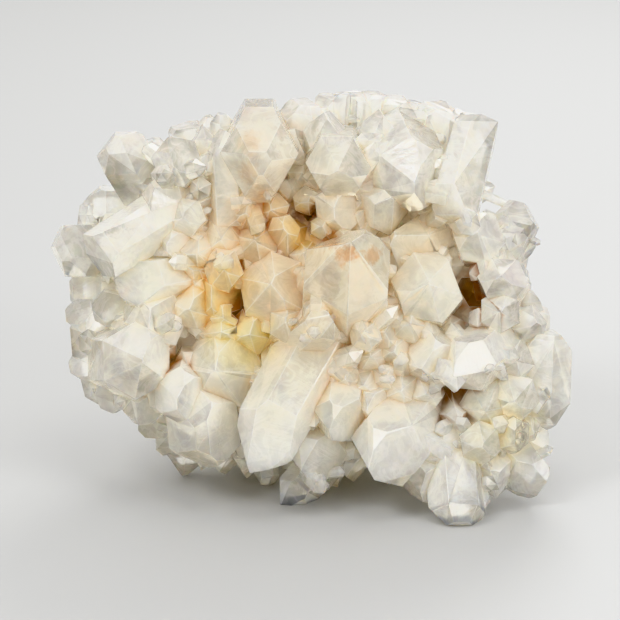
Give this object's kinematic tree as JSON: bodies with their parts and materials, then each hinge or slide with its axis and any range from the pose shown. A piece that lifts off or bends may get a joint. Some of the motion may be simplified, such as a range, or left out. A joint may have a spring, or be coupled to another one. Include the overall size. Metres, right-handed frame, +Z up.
{
  "type": "quartz crystal cluster",
  "caption": "Natural cluster of intergrown quartz points on one milky mass, standing upright on its lowest crystal tips.",
  "frame": {"origin": "on the surface the cluster stands on, below the middle of its bounding box", "axes": "+Z up; +X to the right along the cluster's width as seen from its showy side; the showy side looks to -Y and leans back"},
  "size_m": [0.1306, 0.0798, 0.0972],
  "materials": {
    "quartz": "natural crystal faces, clear to milky, iron-stained in the middle"
  },
  "bodies": {
    "root": {"quartz_cluster": "quartz"}
  },
  "joints": []
}
